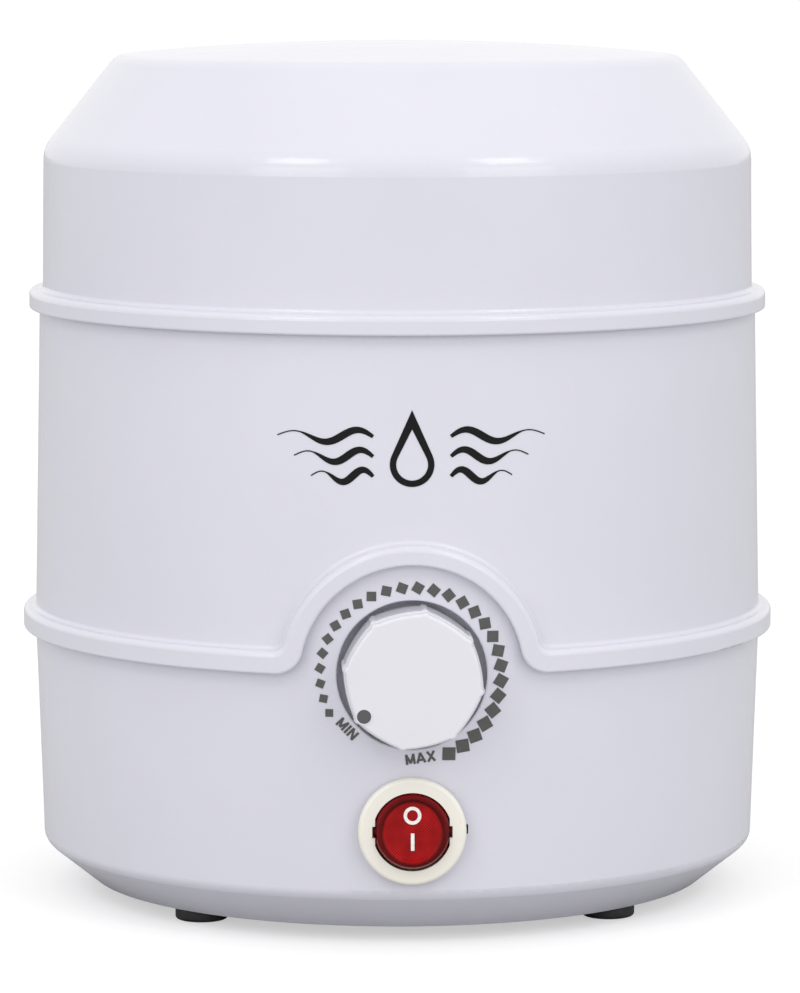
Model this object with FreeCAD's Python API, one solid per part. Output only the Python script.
"""Pot-type paraffin wax bath: a round heated tub with a lift-out pot, a lid, a heat dial and a rocker.

Units are millimetres. +Z is up, the dial faces -Y, and the origin is the footprint's middle on the table.
Everything is turned about the tub's vertical axis, or built on the dial's or the switch's own axis along Y.
"""

import FreeCAD, Part
import math
import os

V = FreeCAD.Vector
X, Y, Z = V(1, 0, 0), V(0, 1, 0), V(0, 0, 1)
OUT = "parts"

# Overall shape of the casing
FOOT_H = 2.8                  # height of the casing's underside above the table
WALL = 2.2                    # moulded casing wall
BASE_R = 69.5                 # bottom edge
HIP_R, HIP_Z = 80.1, 11.3     # top of the bottom chamfer
SEAM_R, SEAM_Z = 81.7, 59.1   # wall where the two casing halves meet
RIDGE_R = 84.4                # flange that covers that seam
RIDGE_TOP = 63.9
NECK_R, NECK_Z = 80.3, 132.8  # top edge of the upper casing, which carries the lid
LAP = 1.7                     # how far one shell reaches up behind the next one's flange
FIT = 0.2                     # clearance between shells that slide over each other

# Lid
LID_FLANGE_R, LID_FLANGE_Z, LID_FLANGE_TOP = 82.6, 130.9, 135.2
LID_R, LID_SHOULDER_R, LID_SHOULDER_Z = 79.6, 79.2, 166.6
LID_CREST_R, LID_CREST_Z, LID_TOP = 63.0, 187.1, 190.2

# Dial, on an axis along Y
DIAL_Z = 59.1
ARCH_IN, ARCH_OUT = 23.6, 27.8   # the flange's arch over the dial
ARCH_FOOT_R, ARCH_ROOT_R = 6.0, 2.5
RECESS_R, RECESS_Y = 15.9, -76.0
KNOB_PEAK, KNOB_VALLEY, LOBES = 15.15, 14.4, 8
TOOTH_HALF, TOOTH_DROP = 3.2, 0.36   # half-angle of a lobe's point, and how far it stands out
KNOB_FACE, KNOB_BACK = -91.4, -79.0
KNOB_STEP_Y, KNOB_STEP, KNOB_RIM = -88.4, 0.4, 0.6
LOBE_START = 9.7                 # degrees clockwise from up
POINTER_ANGLE, POINTER_AT = 235.6, 12.7
SHAFT_R, BUSH_R = 3.0, 4.0

# Rocker switch, on an axis along Y
SWITCH_Z = 25.8
BEZEL_R, BEZEL_BACK, BEZEL_FRONT = 11.5, -81.05, -83.05
SWITCH_BODY_R, CUTOUT_R = 9.95, 10.15
WELL_R, WELL_FLAT = 8.4, 7.9     # the bezel's opening and its two flats
ROCKER_R, ROCKER_FLAT, ROCKER_TILT = 8.2, 7.6, 9.0
ROCKER_FACE = 3.2                # pivot to face
PIN_X, PIN_END = (-5.6, 0.0, 5.6), -56.5

# Heating well and lift-out pot
DECK_Z = 121.8                   # top of the deck that carries the well
WELL_IN, WELL_WALL, WELL_FLOOR = 57.3, 1.2, 39.0
WELL_FLANGE_R = 69.6
POT_TOP_R, POT_FLOOR_R, POT_WALL = 55.6, 54.8, 1.2
POT_FLOOR, POT_RIM_Z, POT_RIM_R = 39.4, 124.0, 62.4
BAIL_WIRE_R, BAIL_PIVOT_Z, BAIL_HALF, BAIL_RISE = 1.5, 127.7, 59.3, 57.0

# Fixings
POST_AT, POST_R = 66.2, 3.4
POST_ANGLES = (20.0, 160.0, 200.0, 340.0)
FOOT_AT, FOOT_ANGLES = 63.0, (45.0, 135.0, 225.0, 315.0)
FOOT_R = 5.8
PLATE_R, PLATE_TOP = 68.9, 5.0
GLAND_Z, GLAND_BORE, GLAND_END = 22.0, 3.3, 91.4


# ---------------------------------------------------------------- helpers

def polar(radius, degrees, z=0.0):
    """A point at a radius and an angle from +X, seen from above."""
    a = math.radians(degrees)
    return V(radius * math.cos(a), radius * math.sin(a), z)


def clock(radius, degrees, y, z0):
    """A point on the front, at a clock angle from up, about an axis along Y at height z0."""
    a = math.radians(degrees)
    return V(radius * math.sin(a), y, z0 + radius * math.cos(a))


def corner_path(points, closed, splines=False):
    """Straight edges through (vector, corner radius) points, with tangent arcs or exact splines of them."""
    count = len(points)
    joints = []
    for i, (here, radius) in enumerate(points):
        if radius <= 0 or (not closed and i in (0, count - 1)):
            joints.append((here, None, here))
            continue
        before = (points[i - 1][0] - here).normalize()
        after = (points[(i + 1) % count][0] - here).normalize()
        half = before.getAngle(after) / 2
        reach = radius / math.tan(half)
        middle = here + (before + after).normalize() * (radius / math.sin(half) - radius)
        joints.append((here + before * reach, middle, here + after * reach))
    edges = []
    for i, (start, middle, end) in enumerate(joints):
        if middle is not None:
            arc = Part.Arc(start, middle, end)
            edges.append((arc.toNurbs() if splines else arc).toShape())
        if closed or i < count - 1:
            onward = joints[(i + 1) % count][0]
            if (onward - end).Length > 1e-6:
                edges.append(Part.LineSegment(end, onward).toShape())
    return Part.Wire(edges)


def turned(profile, splines=False):
    """A ring or disc turned about the tub's axis from (r, z) or (r, z, corner radius) points."""
    points = [(V(p[0], 0, p[1]), p[2] if len(p) > 2 else 0) for p in profile]
    return Part.Face(corner_path(points, True, splines)).revolve(V(), Z, 360)


def turned_on_y(profile, z0):
    """The same about an axis along Y, from (r, y) or (r, y, corner radius) points."""
    points = [(V(p[0], p[1], z0), p[2] if len(p) > 2 else 0) for p in profile]
    return Part.Face(corner_path(points, True)).revolve(V(0, 0, z0), Y, 360)


def rod(radius, start, end):
    return Part.makeCylinder(radius, (end - start).Length, start, end - start)


def tube(outer, inner, start, end):
    return rod(outer, start, end).cut(rod(inner, start, end))


def block(low, high):
    return Part.makeBox(high[0] - low[0], high[1] - low[1], high[2] - low[2], V(*low))


def front_slab(wire, y0, y1):
    """A flat front-view outline (drawn at y = 0) pushed out between two depths."""
    face = Part.Face(wire)
    face.translate(V(0, y0, 0))
    return face.extrude(V(0, y1 - y0, 0))


def fuse_all(shapes):
    first, *rest = shapes
    return first.fuse(rest).removeSplitter() if rest else first


def cut_all(shape, tools):
    return shape.cut(Part.makeCompound(tools)).removeSplitter()


def ring_edges(solid, corners):
    """The circular edges about Z that pass through the given (r, z) corners."""
    found = []
    for edge in solid.Edges:
        p = edge.Vertexes[0].Point
        for r, z in corners:
            round_edge = abs(math.hypot(p.x, p.y) - r) < 0.02 and abs(p.z - z) < 0.02
            if round_edge and edge.BoundBox.ZLength < 0.02:
                found.append(edge)
    return found


def pan_screw(top, way, head_r, head_h, shank_r, length):
    """A cross-head screw: top is the head's outer centre and way is the direction it drives in."""
    way = V(way).normalize()
    neck = top + way * head_h
    screw = rod(head_r, top, neck).fuse(rod(shank_r, neck, neck + way * length)).removeSplitter()
    rim = [e for e in screw.Edges if abs(e.BoundBox.DiagonalLength - head_r * 2 * 2 ** 0.5) < 0.2]
    rim = [e for e in rim if (e.Vertexes[0].Point - top).dot(way) < 1e-3]
    screw = screw.makeFillet(head_h * 0.45, rim)
    side = way.cross(X if abs(way.dot(X)) < 0.9 else Y).normalize()
    slots = []
    for across in (side, way.cross(side)):
        flat = way.cross(across)
        corner = top - across * head_r * 0.55 - flat * 0.35 - way * 0.1
        arm = Part.Face(Part.makePolygon([
            corner,
            corner + across * head_r * 1.1,
            corner + across * head_r * 1.1 + flat * 0.7,
            corner + flat * 0.7,
            corner,
        ])).extrude(way * (head_h * 0.6 + 0.1))
        slots.append(arm)
    return screw.cut(slots)


def group(solids):
    return Part.makeCompound(solids)


def spun(make, angles):
    """Copies of a shape made for angle 0, turned about the tub's axis."""
    copies = []
    for angle in angles:
        copy = make.copy()
        copy.rotate(V(), Z, angle)
        copies.append(copy)
    return copies


# ---------------------------------------------------------------- seam between the casing halves

def under_flange(grow):
    """Front-view outline of everything below the flange and inside its arch, grown by an offset."""
    line = SEAM_Z + grow
    arch = ARCH_IN + grow
    foot = ARCH_FOOT_R - grow
    foot_x = math.sqrt((ARCH_IN + ARCH_FOOT_R) ** 2 - (SEAM_Z + ARCH_FOOT_R - DIAL_Z) ** 2)
    foot_z = SEAM_Z + ARCH_FOOT_R
    reach = math.hypot(foot_x, foot_z - DIAL_Z)
    touch = V(foot_x * arch / reach, 0, DIAL_Z + (foot_z - DIAL_Z) * arch / reach)
    low = V(foot_x, 0, line)
    bisector = (low + touch) * 0.5 - V(foot_x, 0, foot_z)
    middle = V(foot_x, 0, foot_z) + bisector.normalize() * foot

    def flip(p):
        return V(-p.x, 0, p.z)

    far = 100.0
    return Part.Wire([
        Part.LineSegment(V(-far, 0, -5), V(-far, 0, line)).toShape(),
        Part.LineSegment(V(-far, 0, line), flip(low)).toShape(),
        Part.Arc(flip(low), flip(middle), flip(touch)).toShape(),
        Part.Arc(flip(touch), V(0, 0, DIAL_Z + arch), touch).toShape(),
        Part.Arc(touch, middle, low).toShape(),
        Part.LineSegment(low, V(far, 0, line)).toShape(),
        Part.LineSegment(V(far, 0, line), V(far, 0, -5)).toShape(),
        Part.LineSegment(V(far, 0, -5), V(-far, 0, -5)).toShape(),
    ])


def flange_arch():
    """Front-view outline of the arch: outer circle, with small concave roots on the straight flange."""
    root_z = RIDGE_TOP + ARCH_ROOT_R
    root_x = math.sqrt((ARCH_OUT + ARCH_ROOT_R) ** 2 - (root_z - DIAL_Z) ** 2)
    reach = ARCH_OUT + ARCH_ROOT_R
    touch = V(root_x * ARCH_OUT / reach, 0, DIAL_Z + (root_z - DIAL_Z) * ARCH_OUT / reach)
    low = V(root_x, 0, RIDGE_TOP)
    centre = V(root_x, 0, root_z)
    middle = centre + ((low + touch) * 0.5 - centre).normalize() * ARCH_ROOT_R

    def flip(p):
        return V(-p.x, 0, p.z)

    edge_x = root_x + 6
    return Part.Wire([
        Part.LineSegment(V(-edge_x, 0, SEAM_Z), V(-edge_x, 0, RIDGE_TOP)).toShape(),
        Part.LineSegment(V(-edge_x, 0, RIDGE_TOP), flip(low)).toShape(),
        Part.Arc(flip(low), flip(middle), flip(touch)).toShape(),
        Part.Arc(flip(touch), V(0, 0, DIAL_Z + ARCH_OUT), touch).toShape(),
        Part.Arc(touch, middle, low).toShape(),
        Part.LineSegment(low, V(edge_x, 0, RIDGE_TOP)).toShape(),
        Part.LineSegment(V(edge_x, 0, RIDGE_TOP), V(edge_x, 0, SEAM_Z)).toShape(),
        Part.LineSegment(V(edge_x, 0, SEAM_Z), V(-edge_x, 0, SEAM_Z)).toShape(),
    ])


BARREL_Z = SEAM_Z + LAP + FIT


def upper_wall_r(z):
    """Outer radius of the tapered barrel at a height."""
    return SEAM_R + (NECK_R - SEAM_R) * (z - BARREL_Z) / (NECK_Z - BARREL_Z)


# ---------------------------------------------------------------- casing

def lid_wall_r(z):
    """Outer radius of the lid's slightly tapered wall at a height."""
    return LID_R + (LID_SHOULDER_R - LID_R) * (z - NECK_Z) / (LID_SHOULDER_Z - NECK_Z)


def lid():
    """Deep moulded cover with a chamfered shoulder, a domed top and a flange that laps the casing."""
    dome_r = (LID_CREST_R ** 2 + (LID_TOP - LID_CREST_Z) ** 2) / (2 * (LID_TOP - LID_CREST_Z))

    def bell(shrink, bottom):
        slope = math.atan2(LID_CREST_Z - LID_SHOULDER_Z, LID_SHOULDER_R - LID_CREST_R)
        shoulder_z = LID_SHOULDER_Z - shrink * math.tan((math.pi / 2 - slope) / 2)
        crest_r = LID_CREST_R - shrink * math.tan(slope / 2)
        top = LID_TOP - shrink
        middle_r = crest_r / 2
        middle_z = top - (dome_r - math.sqrt(dome_r ** 2 - middle_r ** 2))
        crest_z = top - (dome_r - math.sqrt(dome_r ** 2 - crest_r ** 2))
        foot = V(LID_R - shrink, 0, bottom)
        shoulder = V(LID_SHOULDER_R - shrink, 0, shoulder_z)
        crest = V(crest_r, 0, crest_z)
        wire = Part.Wire([
            Part.LineSegment(V(0, 0, bottom), foot).toShape(),
            Part.LineSegment(foot, shoulder).toShape(),
            Part.LineSegment(shoulder, crest).toShape(),
            Part.Arc(crest, V(middle_r, 0, middle_z), V(0, 0, top)).toShape(),
            Part.LineSegment(V(0, 0, top), V(0, 0, bottom)).toShape(),
        ])
        solid = Part.Face(wire).revolve(V(), Z, 360)
        solid = solid.makeFillet(8.0 - shrink, ring_edges(solid, [(shoulder.x, shoulder_z)]))
        return solid.makeFillet(4.5 - shrink, ring_edges(solid, [(crest_r, crest_z)]))

    flange = turned([
        (LID_R - WALL, NECK_Z),
        (NECK_R + 2 * FIT, NECK_Z),
        (NECK_R + 2 * FIT, LID_FLANGE_Z),
        (LID_FLANGE_R, LID_FLANGE_Z, 0.5),
        (LID_FLANGE_R, LID_FLANGE_TOP, 1.3),
        (lid_wall_r(LID_FLANGE_TOP), LID_FLANGE_TOP, 0.9),
        (lid_wall_r(LID_FLANGE_TOP + 3), LID_FLANGE_TOP + 3),
        (LID_R - WALL, LID_FLANGE_TOP + 3),
    ], splines=True)
    return bell(0, NECK_Z).fuse(flange).cut(bell(WALL, NECK_Z - 1)).removeSplitter()


def upper_casing():
    """Barrel of the casing with the flange that arches over the dial, and four fixing posts inside."""
    barrel = turned([
        (SEAM_R, BARREL_Z),
        (NECK_R, NECK_Z, 0.4),
        (NECK_R - WALL, NECK_Z, 0.4),
        (SEAM_R - WALL, BARREL_Z),
    ])
    flange = turned([
        (SEAM_R - WALL, SEAM_Z),
        (RIDGE_R, SEAM_Z),
        (RIDGE_R, RIDGE_TOP),
        (SEAM_R - WALL, RIDGE_TOP),
    ])
    drum = turned([
        (SEAM_R - WALL, SEAM_Z),
        (RIDGE_R, SEAM_Z),
        (RIDGE_R, DIAL_Z + ARCH_OUT + 2),
        (SEAM_R - WALL, DIAL_Z + ARCH_OUT + 2),
    ])
    arch = drum.common(front_slab(flange_arch(), -RIDGE_R - 1, -60))
    shell = fuse_all([barrel, flange, arch])
    behind = turned([(60, 50), (SEAM_R + FIT, 50), (SEAM_R + FIT, 100), (60, 100)])
    pocket = behind.common(front_slab(under_flange(LAP + FIT), -90, -50))
    pocket_ring = turned([
        (60, 50),
        (SEAM_R + FIT, 50),
        (SEAM_R + FIT, BARREL_Z),
        (60, BARREL_Z),
    ])
    window = front_slab(under_flange(0), -90, -50)
    shell = cut_all(shell, [pocket, pocket_ring, window])
    shell = soften_flange(shell)
    foot_z, head_z = SEAM_Z + LAP + 1.2, DECK_Z - 2.4
    post = tube(POST_R, 1.55, V(POST_AT, 0, foot_z), V(POST_AT, 0, head_z))
    mid_wall = upper_wall_r((foot_z + head_z) / 2) - WALL / 2
    rib = block((POST_AT + POST_R - 0.6, -1, foot_z + 2), (mid_wall, 1, head_z - 2))
    return fuse_all([shell] + spun(post.fuse(rib), POST_ANGLES))


def flange_edges(shell, radius_at, upper):
    """The long edges of the flange that lie on a turned surface, on its upper or its lower side."""
    found = []
    for edge in shell.Edges:
        span = edge.LastParameter - edge.FirstParameter
        near, middle, far = (edge.valueAt(edge.FirstParameter + span * t) for t in (0.02, 0.5, 0.98))
        on_surface = all(abs(math.hypot(p.x, p.y) - radius_at(p.z)) < 0.02 for p in (near, middle, far))
        upright = edge.BoundBox.ZLength > 0.9 * edge.Length
        if not on_surface or upright or not SEAM_Z - 0.01 < middle.z < DIAL_Z + ARCH_OUT + 1:
            continue
        inside_arch = middle.y < 0 and math.hypot(middle.x, middle.z - DIAL_Z) < (ARCH_IN + ARCH_OUT) / 2
        if upper == (middle.z > (SEAM_Z + RIDGE_TOP) / 2 and not inside_arch):
            found.append(edge)
    return found


def soften_flange(shell):
    """Blends the flange into the barrel above it, and rounds its outer edges."""
    shell = shell.makeFillet(0.9, flange_edges(shell, upper_wall_r, True))
    shell = shell.makeFillet(1.3, flange_edges(shell, lambda z: RIDGE_R, True))
    return shell.makeFillet(0.5, flange_edges(shell, lambda z: RIDGE_R, False))


def lower_casing():
    """Tub-shaped lower shell: bottom chamfer, dial tongue and recess, switch cut-out and lead pad."""
    shell = turned([
        (PLATE_R + 0.3, FOOT_H),
        (BASE_R, FOOT_H),
        (HIP_R, HIP_Z, 3.0),
        (SEAM_R, SEAM_Z),
        (SEAM_R, SEAM_Z + LAP),
        (SEAM_R - WALL, SEAM_Z + LAP),
        (SEAM_R - WALL, SEAM_Z),
        (HIP_R - WALL, HIP_Z + 0.8, 1.5),
        (BASE_R + 1.4, PLATE_TOP + 2.0),
        (65.0, PLATE_TOP + 2.0),
        (65.0, PLATE_TOP),
        (PLATE_R + 0.3, PLATE_TOP),
    ])
    drum = turned([
        (SEAM_R - WALL, SEAM_Z - 1),
        (SEAM_R, SEAM_Z - 1),
        (SEAM_R, DIAL_Z + ARCH_OUT),
        (SEAM_R - WALL, DIAL_Z + ARCH_OUT),
    ])
    tongue = drum.common(front_slab(under_flange(LAP), -90, -50))
    keep = turned([(0, 20), (SEAM_R - 0.5, 20), (SEAM_R - 0.5, 90), (0, 90)])
    cup = rod(RECESS_R + 2.0, V(0, -84, DIAL_Z), V(0, RECESS_Y + 2.0, DIAL_Z)).common(keep)
    pad = rod(10.0, V(0, 77.0, GLAND_Z), V(0, 81.3, GLAND_Z))
    solid = fuse_all([shell, tongue, cup, pad])
    recess = rod(RECESS_R, V(0, -90, DIAL_Z), V(0, RECESS_Y, DIAL_Z))
    bush_hole = rod(BUSH_R + 0.15, V(0, -80, DIAL_Z), V(0, -70, DIAL_Z))
    cutout = rod(CUTOUT_R, V(0, -90, SWITCH_Z), V(0, -70, SWITCH_Z))
    key = block((CUTOUT_R - 1, -90, SWITCH_Z - 1.05), (BEZEL_R + 0.45, -74, SWITCH_Z + 1.05))
    gland_hole = rod(6.2, V(0, 70, GLAND_Z), V(0, 85, GLAND_Z))
    solid = cut_all(solid, [recess, bush_hole, cutout, key, gland_hole])
    solid = round_recess(solid)
    boss = tube(POST_R, 1.75, V(POST_AT, 0, 50), V(POST_AT, 0, SEAM_Z + LAP))
    rib = block((POST_AT + POST_R - 0.6, -1, 50), (SEAM_R - 1.4, 1, SEAM_Z))
    foot_boss = rod(4.6, V(FOOT_AT, 0, PLATE_TOP), V(FOOT_AT, 0, PLATE_TOP + 8))
    foot_rib = block((FOOT_AT, -1, PLATE_TOP + 1), (BASE_R + 2.4, 1, PLATE_TOP + 6))
    foot_post = foot_boss.fuse(foot_rib).cut(rod(1.55, V(FOOT_AT, 0, 0), V(FOOT_AT, 0, PLATE_TOP + 7)))
    driver_way = spun(rod(3.6, V(POST_AT, 0, PLATE_TOP - 1), V(POST_AT, 0, PLATE_TOP + 3)), POST_ANGLES)
    solid = cut_all(solid, driver_way)
    return fuse_all([solid] + spun(boss.fuse(rib), POST_ANGLES) + spun(foot_post, FOOT_ANGLES))


def round_recess(solid):
    rim = []
    for edge in solid.Edges:
        samples = [edge.valueAt(edge.FirstParameter + (edge.LastParameter - edge.FirstParameter) * t)
                   for t in (0.1, 0.5, 0.9)]
        if all(abs(math.hypot(p.x, p.z - DIAL_Z) - RECESS_R) < 0.01 and p.y < -79 for p in samples):
            rim.append(edge)
    return solid.makeFillet(0.35, rim)


def deck():
    """Collar inside the casing's mouth: a shelf that carries the heating well, with an upstand to the rim."""
    outer = upper_wall_r(NECK_Z) - WALL - FIT
    return cut_all(turned([
        (WELL_IN + WELL_WALL + 0.7, DECK_Z - 2.2),
        (outer, DECK_Z - 2.2, 1.0),
        (outer, NECK_Z - 0.3, 0.5),
        (outer - 1.8, NECK_Z - 0.3, 0.5),
        (outer - 1.8, DECK_Z, 1.5),
        (WELL_IN + WELL_WALL + 0.7, DECK_Z),
    ]), spun(rod(1.75, V(POST_AT, 0, 110), V(POST_AT, 0, 130)), POST_ANGLES))


def base_plate():
    """Flat cover under the casing with air slots and four counterbored holes for the feet."""
    plate = turned([(0, FOOT_H), (PLATE_R, FOOT_H, 0.3), (PLATE_R, PLATE_TOP), (0, PLATE_TOP)])
    cuts = spun(rod(4.15, V(FOOT_AT, 0, FOOT_H - 1), V(FOOT_AT, 0, FOOT_H + 1.2)), FOOT_ANGLES)
    cuts += spun(rod(1.75, V(FOOT_AT, 0, 0), V(FOOT_AT, 0, 10)), FOOT_ANGLES)
    slot = Part.Wire([
        Part.LineSegment(V(-6, -1.2, 0), V(6, -1.2, 0)).toShape(),
        Part.Arc(V(6, -1.2, 0), V(7.2, 0, 0), V(6, 1.2, 0)).toShape(),
        Part.LineSegment(V(6, 1.2, 0), V(-6, 1.2, 0)).toShape(),
        Part.Arc(V(-6, 1.2, 0), V(-7.2, 0, 0), V(-6, -1.2, 0)).toShape(),
    ])
    for side in (-1, 1):
        for row in range(6):
            opening = Part.Face(slot).extrude(V(0, 0, 10))
            opening.translate(V(side * 14, -20 + row * 8, 0))
            cuts.append(opening)
    return cut_all(plate, cuts)


def feet():
    """Four rubber feet, each a round pad with a spigot in the base plate and a well for its screw."""
    foot = Part.Face(corner_path([
        (V(3.3, 0, 0), 0),
        (V(FOOT_R, 0, 0), 0.8),
        (V(FOOT_R, 0, FOOT_H), 0),
        (V(4.0, 0, FOOT_H), 0),
        (V(4.0, 0, FOOT_H + 1.1), 0),
        (V(1.75, 0, FOOT_H + 1.1), 0),
        (V(1.75, 0, FOOT_H), 0),
        (V(3.3, 0, FOOT_H), 0),
    ], True)).revolve(V(), Z, 360)
    foot.translate(V(FOOT_AT, 0, 0))
    return group(spun(foot, FOOT_ANGLES))


def foot_screws():
    screw = pan_screw(V(FOOT_AT, 0, 1.1), Z, 3.0, 1.6, 1.5, 8.6)
    return group(spun(screw, FOOT_ANGLES))


def casing_screws():
    """Screws through the lower casing's bosses, up into the upper casing's posts."""
    screw = pan_screw(V(POST_AT, 0, 48.1), Z, 3.0, 1.9, 1.5, 18)
    return group(spun(screw, POST_ANGLES))


def deck_screws():
    """Screws through the well's flange and the deck, down into the upper casing's posts."""
    screw = pan_screw(V(POST_AT, 0, DECK_Z + 1.0 + 1.7), -Z, 3.0, 1.7, 1.5, 12)
    return group(spun(screw, POST_ANGLES))


# ---------------------------------------------------------------- heating well, pot and bail

def heating_well():
    """Spun aluminium bucket hung by its flange from the deck."""
    out = WELL_IN + WELL_WALL
    under = WELL_FLOOR - WELL_WALL
    well = turned([
        (0, under),
        (out, under, 6.0),
        (out, DECK_Z),
        (WELL_FLANGE_R, DECK_Z),
        (WELL_FLANGE_R, DECK_Z + 1.0),
        (WELL_IN, DECK_Z + 1.0, 0.6),
        (WELL_IN, WELL_FLOOR, 4.8),
        (0, WELL_FLOOR),
    ])
    return cut_all(well, spun(rod(1.75, V(POST_AT, 0, 110), V(POST_AT, 0, 130)), POST_ANGLES))


def pot():
    """Lift-out aluminium pot with a broad rolled rim."""
    return turned([
        (0, POT_FLOOR),
        (POT_FLOOR_R + POT_WALL, POT_FLOOR, 8.0),
        (POT_TOP_R + POT_WALL, POT_RIM_Z - 1.2),
        (POT_RIM_R, POT_RIM_Z - 1.2, 0.5),
        (POT_RIM_R, POT_RIM_Z, 0.6),
        (POT_TOP_R, POT_RIM_Z, 0.8),
        (POT_FLOOR_R, POT_FLOOR + POT_WALL, 6.8),
        (0, POT_FLOOR + POT_WALL),
    ])


EAR_X = POT_TOP_R + 0.6           # inner face of the ears


def bail_ears():
    """Two steel ears that stand on the pot's rim and carry the bail's pivots."""
    ears = []
    for side in (-1, 1):
        outline = corner_path([
            (V(EAR_X, -5, POT_RIM_Z), 0),
            (V(EAR_X, 5, POT_RIM_Z), 0),
            (V(EAR_X, 3.4, BAIL_PIVOT_Z + 3.2), 3.0),
            (V(EAR_X, -3.4, BAIL_PIVOT_Z + 3.2), 3.0),
        ], True)
        ear = Part.Face(outline).extrude(V(1.2, 0, 0))
        foot = block((EAR_X + 0.6, -5, POT_RIM_Z), (EAR_X + 3.4, -3.2, POT_RIM_Z + 0.8))
        other = block((EAR_X + 0.6, 3.2, POT_RIM_Z), (EAR_X + 3.4, 5, POT_RIM_Z + 0.8))
        ear = fuse_all([ear, foot, other])
        ear = ear.cut(rod(1.55, V(0, 0, BAIL_PIVOT_Z), V(80, 0, BAIL_PIVOT_Z)))
        if side < 0:
            ear = ear.mirror(V(), X)
        ears.append(ear)
    return group(ears)


def bail_rivets():
    rivets = []
    for side in (-1, 1):
        inner = V(side * (EAR_X - 0.9), 0, BAIL_PIVOT_Z)
        face = V(side * EAR_X, 0, BAIL_PIVOT_Z)
        tip = V(side * (EAR_X + 5.1), 0, BAIL_PIVOT_Z)
        cap = V(side * (EAR_X + 6.1), 0, BAIL_PIVOT_Z)
        rivets.append(fuse_all([rod(2.6, inner, face), rod(1.5, face, tip), rod(2.5, tip, cap)]))
    return group(rivets)


def bail_handle():
    """Wire bail lying back on the rim, with a flattened eye at each pivot."""
    sag = BAIL_RISE - 2.4
    half = BAIL_HALF
    bend = (half ** 2 + sag ** 2) / (2 * sag)
    centre = V(0, 2.4 + sag - bend, BAIL_PIVOT_Z)
    start = math.degrees(math.asin((2.4 - centre.y) / bend))
    ring_face = Part.Face(Part.Wire(Part.makeCircle(BAIL_WIRE_R, centre + V(bend, 0, 0), Y)))
    ring_face.rotate(centre, Z, start)
    wire = ring_face.revolve(centre, Z, 180 - 2 * start)
    eyes = []
    for side in (-1, 1):
        middle = V(side * half, 0, BAIL_PIVOT_Z)
        eyes.append(rod(3.2, middle - X * 1.3, middle + X * 1.3))
    solid = fuse_all([wire] + eyes)
    return solid.cut(rod(1.56, V(-90, 0, BAIL_PIVOT_Z), V(90, 0, BAIL_PIVOT_Z)))


# ---------------------------------------------------------------- heating and sensing

def open_ring(inner, outer, z0, z1, gap):
    """A band round the well with a gap centred on the dial side."""
    ring = turned([(inner, z0), (outer, z0), (outer, z1), (inner, z1)])
    wedge = Part.Face(Part.makePolygon([
        V(0, 0, z0 - 1),
        V(-200 * math.tan(math.radians(gap)), -200, z0 - 1),
        V(200 * math.tan(math.radians(gap)), -200, z0 - 1),
        V(0, 0, z0 - 1),
    ])).extrude(V(0, 0, z1 - z0 + 2))
    return ring.cut(wedge)


HEATER_Z0, HEATER_Z1 = 46.0, 74.0
HEATER_GAP = 17.0


def heater_band():
    out = WELL_IN + WELL_WALL
    return open_ring(out + 0.1, out + 1.7, HEATER_Z0, HEATER_Z1, HEATER_GAP)


def heater_tabs():
    """The band's two spade terminals, one each side of its gap."""
    tabs = []
    for side in (-1, 1):
        at = polar(WELL_IN + WELL_WALL + 1.75, -90 + side * (HEATER_GAP + 4), 52)
        stud = rod(1.8, at, at + V(at.x, at.y, 0).normalize() * 2.2)
        blade = block((-2.4, -0.4, -9), (2.4, 0.4, 2.5))
        blade.rotate(V(), Z, side * (HEATER_GAP + 4))
        blade.translate(at + V(at.x, at.y, 0).normalize() * 2.5)
        tabs.append(fuse_all([stud, blade]))
    return group(tabs)


def band_clamp():
    """Spring-steel strap that holds the heater band against the well."""
    inner = WELL_IN + WELL_WALL + 1.8
    return open_ring(inner, inner + 0.5, 57, 65, HEATER_GAP + 10)


def insulation():
    return open_ring(WELL_IN + WELL_WALL + 0.4, 62.4, 78.0, 116.0, 20.0)


def thermostat_bracket():
    """Two steel plates of the thermostat: one against the well, one that holds the bush."""
    back = block((-8, -60.0, 48), (8, -59.0, 94)).cut(rod(1.75, V(0, -70, 78), V(0, -50, 78)))
    front = block((-8, -70.4, 51), (8, -69.4, 84))
    front = front.cut([
        rod(1.75, V(0, -80, 78), V(0, -50, 78)),
        rod(BUSH_R + 0.1, V(0, -80, DIAL_Z), V(0, -66, DIAL_Z)),
    ])
    back = back.cut(rod(1.6, V(0, -70, 90), V(0, -50, 90)))
    return group([back, front])


def thermostat_insulators():
    """Ceramic collars that stack the blades on the rivet."""
    spans = ((-62.7, -60.0), (-65.9, -63.4), (-69.4, -66.5))
    return group([tube(4.6, 1.75, V(0, a, 78), V(0, b, 78)) for a, b in spans])


TAB_X, TAB_Z = 11.5, 76.0


def thermostat_blade(y0, y1, low, half, side):
    """A strip clamped in the stack, with a connection tab to one side."""
    blade = block((-half, y0, low), (half, y1, 82.5))
    tab = block((min(0, side * 13), y0, TAB_Z), (max(0, side * 13), y1, TAB_Z + 4))
    return fuse_all([blade, tab]).cut(rod(1.75, V(0, -80, 78), V(0, -50, 78)))


def bimetal_blade():
    """Bimetal strip that bends away from the contact as the well warms."""
    return thermostat_blade(-63.4, -62.7, 52.0, 3.5, -1)


def contact_blade():
    """Springy blade under the shaft's tip, with a silver contact facing the bimetal."""
    blade = thermostat_blade(-66.5, -65.9, 54.0, 3.0, 1)
    return fuse_all([blade, rod(1.6, V(0, -65.9, 56.5), V(0, -64.6, 56.5))])


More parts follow.
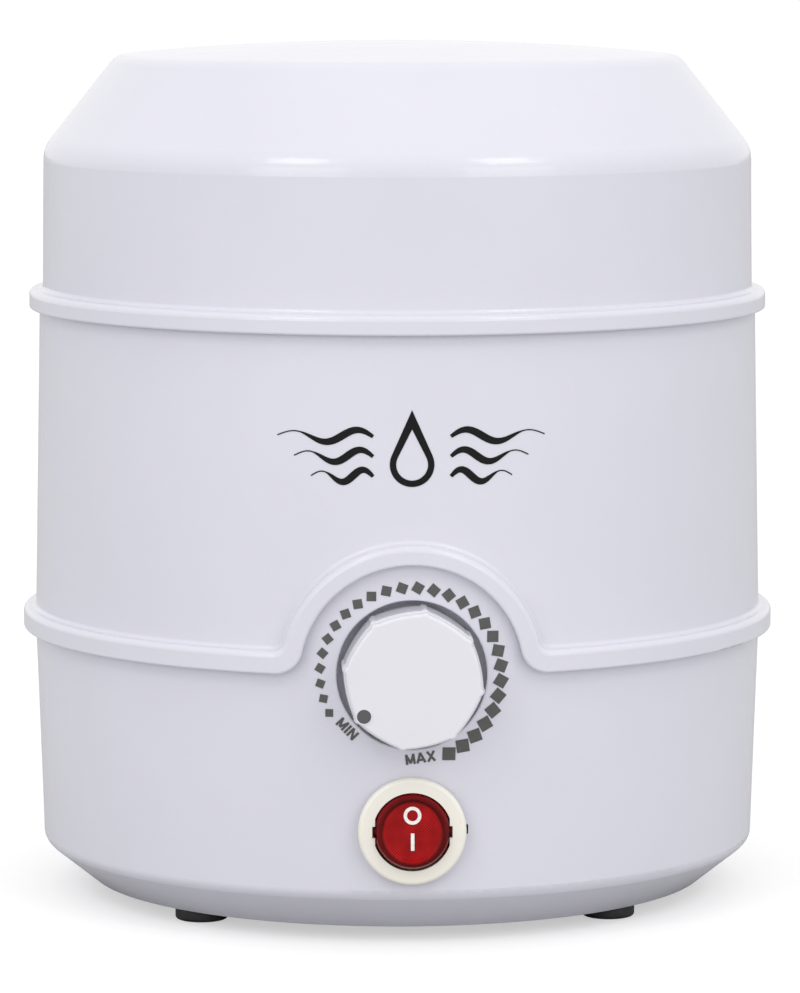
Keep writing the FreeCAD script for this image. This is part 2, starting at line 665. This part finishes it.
def thermostat_rivet():
    return fuse_all([
        rod(1.6, V(0, -70.4, 78), V(0, -59.0, 78)),
        rod(3.0, V(0, -71.4, 78), V(0, -70.4, 78)),
    ])


def thermostat_bush():
    """Brass bush: it is clamped through the floor of the dial recess and guides the shaft."""
    body = rod(BUSH_R, V(0, -78.9, DIAL_Z), V(0, -69.4, DIAL_Z))
    collar = rod(6.0, V(0, -74.0, DIAL_Z), V(0, -70.6, DIAL_Z))
    return fuse_all([body, collar]).cut(rod(SHAFT_R + 0.05, V(0, -90, DIAL_Z), V(0, -60, DIAL_Z)))


def thermostat_nut():
    hexagon = [clock(6.3, 60 * k + 30, -78.2, DIAL_Z) for k in range(6)]
    nut = Part.Face(Part.makePolygon(hexagon + hexagon[:1])).extrude(V(0, 2.2, 0))
    return nut.cut(rod(BUSH_R + 0.05, V(0, -90, DIAL_Z), V(0, -60, DIAL_Z)))


def thermostat_screw():
    """Screw that holds the thermostat against the well, in a welded nut."""
    return pan_screw(V(0, -62.0, 90), Y, 2.8, 1.6, 1.5, 1.6)


def dial_shaft():
    """Control shaft: D-section where the knob grips it, a button tip over the contact blade."""
    shaft = rod(SHAFT_R, V(0, -88.6, DIAL_Z), V(0, -67.6, DIAL_Z))
    tip = Part.makeCone(SHAFT_R - 0.6, 1.0, 0.8, V(0, -67.6, DIAL_Z), Y)
    flat = block((-5, -90, DIAL_Z + 1.5), (5, -80, DIAL_Z + 5))
    return fuse_all([shaft, tip]).cut(flat)


# ---------------------------------------------------------------- knob

def lobed_wire(shrink, y):
    """Outline with eight small rounded points joined by nearly straight flanks."""
    edges = []
    step = 360.0 / LOBES
    base = KNOB_PEAK - TOOTH_DROP - shrink
    for k in range(LOBES):
        peak = LOBE_START + k * step
        rise = clock(base, peak - TOOTH_HALF, y, DIAL_Z)
        point = clock(KNOB_PEAK - shrink, peak, y, DIAL_Z)
        fall = clock(base, peak + TOOTH_HALF, y, DIAL_Z)
        flank = clock(KNOB_VALLEY - shrink, peak + step / 2, y, DIAL_Z)
        onward = clock(base, peak + step - TOOTH_HALF, y, DIAL_Z)
        edges.append(Part.Arc(rise, point, fall).toShape())
        edges.append(Part.Arc(fall, flank, onward).toShape())
    return Part.Wire(edges)


def knob():
    """Hollow moulded knob: lobed grip, a stepped rim, a softly domed face and a D-bored hub."""
    skirt = Part.Face(lobed_wire(0, KNOB_BACK)).extrude(V(0, KNOB_STEP_Y - KNOB_BACK, 0))
    sections = [lobed_wire(KNOB_STEP, KNOB_BACK)]
    for k in range(7):
        turn = math.radians(15 * k)
        shrink = KNOB_STEP + KNOB_RIM * (1 - math.cos(turn))
        sections.append(lobed_wire(shrink, KNOB_FACE + KNOB_RIM * (1 - math.sin(turn))))
    crown = Part.makeLoft(sections, True, True)
    boss_at = clock(POINTER_AT, POINTER_ANGLE, 0, DIAL_Z)
    boss = rod(1.7, V(boss_at.x, KNOB_FACE - 0.2, boss_at.z), V(boss_at.x, -82.0, boss_at.z))
    solid = fuse_all([skirt, crown, boss])
    hollow = rod(KNOB_VALLEY - 2.0, V(0, KNOB_BACK + 1, DIAL_Z), V(0, KNOB_FACE + 2.2, DIAL_Z))
    hub = rod(5.4, V(0, KNOB_FACE + 2.2, DIAL_Z), V(0, KNOB_BACK - 0.4, DIAL_Z))
    bore = rod(SHAFT_R + 0.08, V(0, KNOB_BACK + 1, DIAL_Z), V(0, -88.9, DIAL_Z))
    land = block((-5, -89.5, DIAL_Z + 1.6), (5, -80.0, DIAL_Z + 5))
    clip_room = block((-2.6, -88.0, DIAL_Z + 1.4), (2.6, -80.0, DIAL_Z + 2.7))
    bore = fuse_all([bore.cut(land), clip_room])
    sink = rod(1.5, V(boss_at.x, KNOB_FACE - 1, boss_at.z), V(boss_at.x, KNOB_FACE + 0.7, boss_at.z))
    return cut_all(solid.cut(hollow).fuse(hub), [bore, sink])


def knob_spring():
    """Leaf spring that presses the shaft's flat inside the hub."""
    leaf = block((-2.2, -87.6, DIAL_Z + 1.75), (2.2, -80.6, DIAL_Z + 2.1))
    lip = block((-2.2, -87.6, DIAL_Z + 1.75), (2.2, -87.2, DIAL_Z + 2.6))
    return fuse_all([leaf, lip])


def knob_pointer():
    """Dark dot let into the pointer boss."""
    at = clock(POINTER_AT, POINTER_ANGLE, 0, DIAL_Z)
    return rod(1.48, V(at.x, KNOB_FACE - 0.15, at.z), V(at.x, KNOB_FACE + 0.7, at.z))


# ---------------------------------------------------------------- rocker switch

def truncated(radius, flat, y0, y1, z0):
    """A round bar along Y with a flat on its left and right sides."""
    bar = rod(radius, V(0, y0, z0), V(0, y1, z0))
    return bar.common(block((-flat, y0 - 1, z0 - 50), (flat, y1 + 1, z0 + 50)))


def switch_body():
    """Round snap-in switch: rounded bezel in front, can behind, with the rocker's opening through it."""
    can_end = -64.0
    body = turned_on_y([
        (0, BEZEL_FRONT),
        (BEZEL_R, BEZEL_FRONT, 0.9),
        (BEZEL_R, BEZEL_BACK, 0.3),
        (SWITCH_BODY_R, BEZEL_BACK),
        (SWITCH_BODY_R, can_end, 0.6),
        (0, can_end),
    ], SWITCH_Z)
    opening = truncated(WELL_R, WELL_FLAT, BEZEL_FRONT - 1, -70.0, SWITCH_Z)
    snaps = [block((-2.5, -78.2, SWITCH_Z + s * 9.0 - 1.2), (2.5, -73.5, SWITCH_Z + s * 9.0 + 1.2))
             for s in (-1, 1)]
    snaps = [s.common(rod(10.05, V(0, -79, SWITCH_Z), V(0, -73, SWITCH_Z))) for s in snaps]
    notch = block((-8.5, BEZEL_FRONT - 1, SWITCH_Z - 1.25), (8.5, BEZEL_BACK + 1.25, SWITCH_Z + 1.25))
    slits = [block((x - 0.45, -71, SWITCH_Z - 2.15), (x + 0.45, can_end + 1, SWITCH_Z + 2.15)) for x in PIN_X]
    return cut_all(fuse_all([body] + snaps), [opening, notch] + slits)


def switch_terminals():
    """Three spade blades that leave the back of the switch."""
    return group([block((x - 0.4, -69.5, SWITCH_Z - 2.1), (x + 0.4, PIN_END, SWITCH_Z + 2.1)) for x in PIN_X])


def tilted(shape):
    """The rocker is drawn square to the switch, then tipped with its upper side pressed in."""
    shape.rotate(V(0, BEZEL_BACK, SWITCH_Z), X, -ROCKER_TILT)
    return shape


def rocker():
    """Lens-like rocker: trimmed by a ball about its pivot, with a shallow round dish in its face."""
    face_y = BEZEL_BACK - ROCKER_FACE
    back_y = BEZEL_BACK + 3.0
    bar = truncated(ROCKER_R, ROCKER_FLAT, face_y, back_y, SWITCH_Z)
    ball = Part.makeSphere(8.25, V(0, BEZEL_BACK, SWITCH_Z))
    solid = bar.common(ball)
    rim = [e for e in solid.Edges if e.BoundBox.YMax < face_y + 0.01]
    solid = solid.makeFillet(0.5, rim)
    dish = Part.makeCone(6.6, 6.0, 0.5, V(0, face_y, SWITCH_Z), Y)
    cavity = block((-5.5, face_y + 1.6, SWITCH_Z - 2.6), (5.5, back_y + 1, SWITCH_Z + 2.6))
    stem = block((-1.6, back_y - 3.4, SWITCH_Z + 2.6), (1.6, back_y + 2.6, SWITCH_Z + 5.0))
    trunnion = rod(1.1, V(-8.25, BEZEL_BACK, SWITCH_Z), V(8.25, BEZEL_BACK, SWITCH_Z))
    return tilted(fuse_all([solid, stem, trunnion]).cut([dish, cavity]))


def switch_lamp():
    """Neon capsule inside the rocker."""
    y = BEZEL_BACK - 0.1
    lamp = rod(1.25, V(-3.6, y, SWITCH_Z), V(3.0, y, SWITCH_Z))
    nose = Part.makeSphere(1.25, V(3.0, y, SWITCH_Z))
    return tilted(fuse_all([lamp, nose]))


# ---------------------------------------------------------------- supply entry and wiring

def cord_gland():
    """Gland for the supply lead: flange on the casing's pad, domed nose outside, thread inside."""
    return turned_on_y([
        (GLAND_BORE, 72.0),
        (6.0, 72.0),
        (6.0, 81.3),
        (9.0, 81.3),
        (9.0, 84.0, 0.8),
        (7.4, 84.0),
        (6.9, GLAND_END, 2.0),
        (GLAND_BORE, GLAND_END),
    ], GLAND_Z)


def gland_nut():
    hexagon = [clock(9.2, 60 * k, 74.6, GLAND_Z) for k in range(6)]
    nut = Part.Face(Part.makePolygon(hexagon + hexagon[:1])).extrude(V(0, 2.3, 0))
    return nut.cut(rod(6.05, V(0, 70, GLAND_Z), V(0, 80, GLAND_Z)))


BLOCK_X, BLOCK_Y = -30.0, 28.0
BLOCK_Z0, BLOCK_Z1 = PLATE_TOP, PLATE_TOP + 11.0
WAYS = [BLOCK_X + 8.0 * k for k in (-1.5, -0.5, 0.5, 1.5)]
WAY_Z = BLOCK_Z0 + 5.0


def terminal_block():
    """Four-way block on the base plate: each way has a wire hole along Y and a screw from above."""
    body = block((BLOCK_X - 16, BLOCK_Y - 6, BLOCK_Z0), (BLOCK_X + 16, BLOCK_Y + 6, BLOCK_Z1))
    cuts = []
    for x in WAYS:
        cuts.append(rod(1.6, V(x, BLOCK_Y - 7, WAY_Z), V(x, BLOCK_Y + 7, WAY_Z)))
        cuts.append(rod(1.9, V(x, BLOCK_Y, WAY_Z + 1), V(x, BLOCK_Y, BLOCK_Z1 + 1)))
    return cut_all(body, cuts)


def terminal_screws():
    return group([rod(1.7, V(x, BLOCK_Y, WAY_Z + 1.8), V(x, BLOCK_Y, BLOCK_Z1 - 1.5)) for x in WAYS])


UNDER_WELL = WELL_FLOOR - WELL_WALL
FUSE_AT = V(8.0, 12.0, UNDER_WELL - 2.3)


def thermal_fuse():
    """Thermal cut-out capsule held against the well's underside."""
    return rod(2.1, FUSE_AT - X * 6, FUSE_AT + X * 6)


def fuse_clip():
    """Sprung steel strap over the fuse, on the well's underside."""
    z = UNDER_WELL
    saddle = tube(2.9, 2.2, FUSE_AT - X * 2.5, FUSE_AT + X * 2.5)
    saddle = saddle.cut(block((-50, -50, z - 0.7), (50, 50, z + 5)))
    tail = block((FUSE_AT.x - 2.5, FUSE_AT.y + 2.3, z - 0.8), (FUSE_AT.x + 2.5, FUSE_AT.y + 10, z))
    cheek = block((FUSE_AT.x - 2.5, FUSE_AT.y + 2.25, z - 2.3), (FUSE_AT.x + 2.5, FUSE_AT.y + 2.9, z - 0.2))
    clip = fuse_all([saddle, cheek, tail])
    return clip.cut(rod(1.55, V(FUSE_AT.x, FUSE_AT.y + 7, 30), V(FUSE_AT.x, FUSE_AT.y + 7, 40)))


EARTH_AT, EARTH_CRIMP = V(-22.0, 8.0, UNDER_WELL), 6.0


def earth_lug():
    """Ring tag for the protective earth, on the well's underside."""
    ring = tube(3.6, 1.6, EARTH_AT - Z * 0.8, V(EARTH_AT.x, EARTH_AT.y, EARTH_AT.z))
    crimp = EARTH_AT - X * 3.0 - Z * 1.6
    barrel = rod(1.5, crimp, crimp - X * EARTH_CRIMP)
    return fuse_all([ring, barrel])


def well_screws():
    """Two short screws into the well's floor, for the fuse clip and the earth tag."""
    places = (V(FUSE_AT.x, FUSE_AT.y + 7, UNDER_WELL - 2.4), V(EARTH_AT.x, EARTH_AT.y, UNDER_WELL - 2.4))
    return group([pan_screw(p, Z, 2.8, 1.6, 1.4, 0.8) for p in places])


WIRE_R = 1.0


def lead(points, bend=5.0):
    """An insulated wire in straight stretches joined by tangent arcs."""
    path = corner_path([(V(*p), bend) for p in points], False)
    start, onward = V(*points[0]), V(*points[1])
    circle = Part.Wire(Part.makeCircle(WIRE_R, start, onward - start))
    return path.makePipeShell([circle], True, False)


def live_lead():
    """Terminal block to the switch's live pin."""
    return lead([
        (WAYS[3], BLOCK_Y - 6.5, WAY_Z),
        (WAYS[3], 2, WAY_Z),
        (2, -30, 12),
        (PIN_X[2], -45, SWITCH_Z),
        (PIN_X[2], PIN_END + 0.1, SWITCH_Z),
    ])


def lamp_lead():
    """Switch lamp's pin to the neutral way."""
    return lead([
        (WAYS[2], BLOCK_Y - 6.5, WAY_Z),
        (WAYS[2], -6, WAY_Z),
        (-10, -34, 14),
        (PIN_X[0], -46, SWITCH_Z),
        (PIN_X[0], PIN_END + 0.1, SWITCH_Z),
    ], 4.0)


def switched_lead():
    """Switch to the thermostat's contact blade, up the front of the well."""
    return lead([
        (PIN_X[1], PIN_END + 0.1, SWITCH_Z),
        (PIN_X[1], -47, SWITCH_Z),
        (TAB_X, -50, 34),
        (TAB_X, -66.2, 40),
        (TAB_X, -66.2, TAB_Z - 0.1),
    ], 4.0)


def thermostat_lead():
    """Bimetal blade down and under the well to the thermal cut-out."""
    return lead([
        (-TAB_X, -63.05, TAB_Z - 0.1),
        (-TAB_X, -63.05, 34),
        (-TAB_X, -44, 30),
        (-TAB_X, 4, 30),
        (-6, FUSE_AT.y, FUSE_AT.z),
        (FUSE_AT.x - 6.1, FUSE_AT.y, FUSE_AT.z),
    ], 4.0)


def fuse_lead():
    """Thermal cut-out to the heater band's right tab."""
    tab = polar(WELL_IN + WELL_WALL + 4.25, -90 + HEATER_GAP + 4)
    return lead([
        (FUSE_AT.x + 6.1, FUSE_AT.y, FUSE_AT.z),
        (23, FUSE_AT.y, FUSE_AT.z),
        (28, -36, 22),
        (tab.x, tab.y, 22),
        (tab.x, tab.y, 42.9),
    ])


def neutral_lead():
    """Terminal block to the heater band's left tab."""
    tab = polar(WELL_IN + WELL_WALL + 4.25, -90 - HEATER_GAP - 4)
    return lead([
        (WAYS[1], BLOCK_Y - 6.5, WAY_Z),
        (WAYS[1], -16, WAY_Z),
        (tab.x, tab.y, 16),
        (tab.x, tab.y, 42.9),
    ])


def earth_lead():
    """Terminal block to the earth tag under the well."""
    lift = EARTH_AT.z - 1.6
    return lead([
        (WAYS[0], BLOCK_Y - 6.5, WAY_Z),
        (WAYS[0], EARTH_AT.y, WAY_Z),
        (WAYS[0], EARTH_AT.y, lift),
        (EARTH_AT.x - 3.1 - EARTH_CRIMP, EARTH_AT.y, lift),
    ])


NODES = {
    "lid": lid,
    "upper_casing": upper_casing,
    "lower_casing": lower_casing,
    "deck": deck,
    "base_plate": base_plate,
    "feet": feet,
    "foot_screws": foot_screws,
    "casing_screws": casing_screws,
    "deck_screws": deck_screws,
    "heating_well": heating_well,
    "pot": pot,
    "bail_ears": bail_ears,
    "bail_rivets": bail_rivets,
    "bail_handle": bail_handle,
    "heater_band": heater_band,
    "heater_tabs": heater_tabs,
    "band_clamp": band_clamp,
    "insulation": insulation,
    "thermostat_bracket": thermostat_bracket,
    "thermostat_insulators": thermostat_insulators,
    "bimetal_blade": bimetal_blade,
    "contact_blade": contact_blade,
    "thermostat_rivet": thermostat_rivet,
    "thermostat_bush": thermostat_bush,
    "thermostat_nut": thermostat_nut,
    "thermostat_screw": thermostat_screw,
    "dial_shaft": dial_shaft,
    "knob": knob,
    "knob_spring": knob_spring,
    "knob_pointer": knob_pointer,
    "switch_body": switch_body,
    "switch_terminals": switch_terminals,
    "rocker": rocker,
    "switch_lamp": switch_lamp,
    "cord_gland": cord_gland,
    "gland_nut": gland_nut,
    "terminal_block": terminal_block,
    "terminal_screws": terminal_screws,
    "thermal_fuse": thermal_fuse,
    "fuse_clip": fuse_clip,
    "earth_lug": earth_lug,
    "well_screws": well_screws,
    "live_lead": live_lead,
    "lamp_lead": lamp_lead,
    "switched_lead": switched_lead,
    "thermostat_lead": thermostat_lead,
    "fuse_lead": fuse_lead,
    "neutral_lead": neutral_lead,
    "earth_lead": earth_lead,
}


def main():
    os.makedirs(OUT, exist_ok=True)
    for name, make in NODES.items():
        shape = make()
        shape.exportStep(f"{OUT}/{name}.step")
        print(f"{name}: {len(shape.Solids)} solids, {shape.Volume / 1000:.2f} cm3, valid {shape.isValid()}")


if __name__ == "__main__":
    main()
